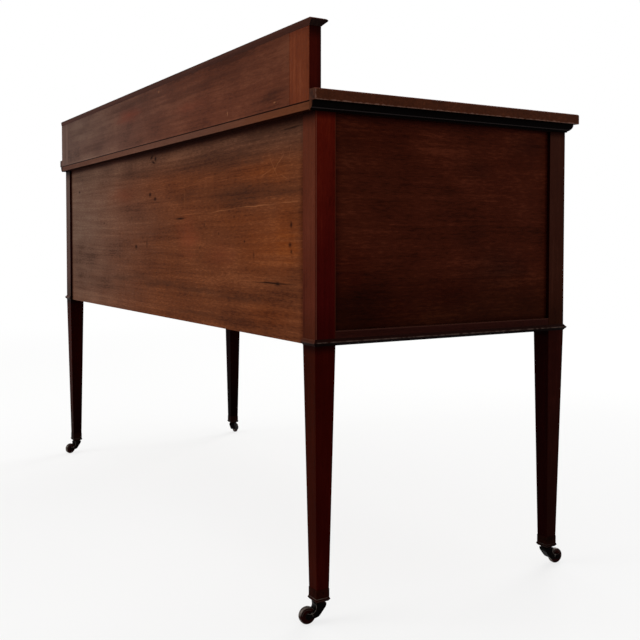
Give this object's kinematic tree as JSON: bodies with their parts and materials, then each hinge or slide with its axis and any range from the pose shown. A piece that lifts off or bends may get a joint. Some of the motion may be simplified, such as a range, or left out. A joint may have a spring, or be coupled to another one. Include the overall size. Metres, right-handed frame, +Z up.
{
  "type": "writing table",
  "caption": "Kneehole writing table with upper and lower drawers, a raised back board, square tapered legs and swan-neck castors.",
  "frame": {"origin": "on the floor, under the middle of the table's bounding box", "axes": "+X to the right as seen from the front, +Y to the back board, +Z up"},
  "size_m": [1.295, 0.5249, 0.87],
  "materials": {
    "mahogany": "french polished dark red mahogany",
    "back_mahogany": "thinly stained brown mahogany",
    "lining_wood": "bare aged wood",
    "leather": "worn green writing leather",
    "handle_brass": "aged polished",
    "castor_brass": "dark tarnished",
    "castor_wheel": "dark tarnished, worn on the tread"
  },
  "bodies": {
    "carcass": {"top_board": "mahogany", "writing_leather": "leather", "top_moulding": "mahogany", "upstand_board": "back_mahogany", "upstand_stiles": "back_mahogany", "upstand_cap": "mahogany", "back_panel": "back_mahogany", "back_strip": "back_mahogany", "end_panel_left": "mahogany", "end_panel_right": "mahogany", "end_rails_left": "mahogany", "end_rails_right": "mahogany", "leg_front_left": "mahogany", "leg_front_right": "mahogany", "leg_rear_left": "mahogany", "leg_rear_right": "mahogany", "foot_bead_left": "mahogany", "foot_bead_right": "mahogany", "front_top_rail": "mahogany", "centre_rail": "mahogany", "front_rails_left": "mahogany", "front_rails_right": "mahogany", "partition_left": "mahogany", "partition_right": "mahogany", "pedestal_bottoms": "lining_wood", "drawer_runners": "lining_wood", "glue_blocks": "lining_wood", "castor_cup_front_left": "castor_brass", "castor_cup_front_right": "castor_brass", "castor_cup_rear_left": "castor_brass", "castor_cup_rear_right": "castor_brass"},
    "drawer_centre": {"drawer_centre_front": "mahogany", "drawer_centre_box": "lining_wood", "drawer_centre_brasses": "handle_brass"},
    "drawer_centre_bail_1": {"drawer_centre_bail_1": "handle_brass"},
    "drawer_centre_bail_2": {"drawer_centre_bail_2": "handle_brass"},
    "drawer_upper_left": {"drawer_upper_left_front": "mahogany", "drawer_upper_left_box": "lining_wood", "drawer_upper_left_brasses": "handle_brass"},
    "drawer_upper_left_bail": {"drawer_upper_left_bail": "handle_brass"},
    "drawer_lower_left": {"drawer_lower_left_front": "mahogany", "drawer_lower_left_box": "lining_wood", "drawer_lower_left_brasses": "handle_brass"},
    "drawer_lower_left_bail": {"drawer_lower_left_bail": "handle_brass"},
    "drawer_upper_right": {"drawer_upper_right_front": "mahogany", "drawer_upper_right_box": "lining_wood", "drawer_upper_right_brasses": "handle_brass"},
    "drawer_upper_right_bail": {"drawer_upper_right_bail": "handle_brass"},
    "drawer_lower_right": {"drawer_lower_right_front": "mahogany", "drawer_lower_right_box": "lining_wood", "drawer_lower_right_brasses": "handle_brass"},
    "drawer_lower_right_bail": {"drawer_lower_right_bail": "handle_brass"},
    "castor_horn_front_left": {"castor_horn_front_left": "castor_brass"},
    "castor_wheel_front_left": {"castor_wheel_front_left": "castor_wheel"},
    "castor_horn_front_right": {"castor_horn_front_right": "castor_brass"},
    "castor_wheel_front_right": {"castor_wheel_front_right": "castor_wheel"},
    "castor_horn_rear_left": {"castor_horn_rear_left": "castor_brass"},
    "castor_wheel_rear_left": {"castor_wheel_rear_left": "castor_wheel"},
    "castor_horn_rear_right": {"castor_horn_rear_right": "castor_brass"},
    "castor_wheel_rear_right": {"castor_wheel_rear_right": "castor_wheel"}
  },
  "joints": [
    {"name": "drawer_centre_slide", "type": "slide", "parent": "carcass", "child": "drawer_centre", "axis": [0, -1, 0], "range_m": [0, 0.34]},
    {"name": "drawer_centre_bail_1_hinge", "type": "hinge", "parent": "drawer_centre", "child": "drawer_centre_bail_1", "pos_m": [-0.17, -0.25425, 0.6985], "axis": [-1, 0, 0], "range_deg": [0, 90]},
    {"name": "drawer_centre_bail_2_hinge", "type": "hinge", "parent": "drawer_centre", "child": "drawer_centre_bail_2", "pos_m": [0.17, -0.25425, 0.6985], "axis": [-1, 0, 0], "range_deg": [0, 90]},
    {"name": "drawer_upper_left_slide", "type": "slide", "parent": "carcass", "child": "drawer_upper_left", "axis": [0, -1, 0], "range_m": [0, 0.34]},
    {"name": "drawer_upper_left_bail_hinge", "type": "hinge", "parent": "drawer_upper_left", "child": "drawer_upper_left_bail", "pos_m": [-0.44975, -0.25425, 0.6985], "axis": [-1, 0, 0], "range_deg": [0, 90]},
    {"name": "drawer_lower_left_slide", "type": "slide", "parent": "carcass", "child": "drawer_lower_left", "axis": [0, -1, 0], "range_m": [0, 0.34]},
    {"name": "drawer_lower_left_bail_hinge", "type": "hinge", "parent": "drawer_lower_left", "child": "drawer_lower_left_bail", "pos_m": [-0.44975, -0.25425, 0.53425], "axis": [-1, 0, 0], "range_deg": [0, 90]},
    {"name": "drawer_upper_right_slide", "type": "slide", "parent": "carcass", "child": "drawer_upper_right", "axis": [0, -1, 0], "range_m": [0, 0.34]},
    {"name": "drawer_upper_right_bail_hinge", "type": "hinge", "parent": "drawer_upper_right", "child": "drawer_upper_right_bail", "pos_m": [0.44975, -0.25425, 0.6985], "axis": [-1, 0, 0], "range_deg": [0, 90]},
    {"name": "drawer_lower_right_slide", "type": "slide", "parent": "carcass", "child": "drawer_lower_right", "axis": [0, -1, 0], "range_m": [0, 0.34]},
    {"name": "drawer_lower_right_bail_hinge", "type": "hinge", "parent": "drawer_lower_right", "child": "drawer_lower_right_bail", "pos_m": [0.44975, -0.25425, 0.53425], "axis": [-1, 0, 0], "range_deg": [0, 90]},
    {"name": "castor_swivel_front_left", "type": "hinge", "parent": "carcass", "child": "castor_horn_front_left", "pos_m": [-0.61375, -0.2275, 0.0322], "axis": [0, 0, 1], "continuous": true},
    {"name": "castor_roll_front_left", "type": "hinge", "parent": "castor_horn_front_left", "child": "castor_wheel_front_left", "pos_m": [-0.61541, -0.24643, 0.0127], "axis": [0.9962, -0.0872, 0], "continuous": true},
    {"name": "castor_swivel_front_right", "type": "hinge", "parent": "carcass", "child": "castor_horn_front_right", "pos_m": [0.61375, -0.2275, 0.0322], "axis": [0, 0, 1], "continuous": true},
    {"name": "castor_roll_front_right", "type": "hinge", "parent": "castor_horn_front_right", "child": "castor_wheel_front_right", "pos_m": [0.62646, -0.24162, 0.0127], "axis": [0.7431, 0.6691, 0], "continuous": true},
    {"name": "castor_swivel_rear_left", "type": "hinge", "parent": "carcass", "child": "castor_horn_rear_left", "pos_m": [-0.61375, 0.233, 0.0322], "axis": [0, 0, 1], "continuous": true},
    {"name": "castor_roll_rear_left", "type": "hinge", "parent": "castor_horn_rear_left", "child": "castor_wheel_rear_left", "pos_m": [-0.61111, 0.25182, 0.0127], "axis": [-0.9903, 0.1392, 0], "continuous": true},
    {"name": "castor_swivel_rear_right", "type": "hinge", "parent": "carcass", "child": "castor_horn_rear_right", "pos_m": [0.61375, 0.233, 0.0322], "axis": [0, 0, 1], "continuous": true},
    {"name": "castor_roll_rear_right", "type": "hinge", "parent": "castor_horn_rear_right", "child": "castor_wheel_rear_right", "pos_m": [0.60851, 0.25126, 0.0127], "axis": [-0.9613, -0.2756, 0], "continuous": true}
  ]
}
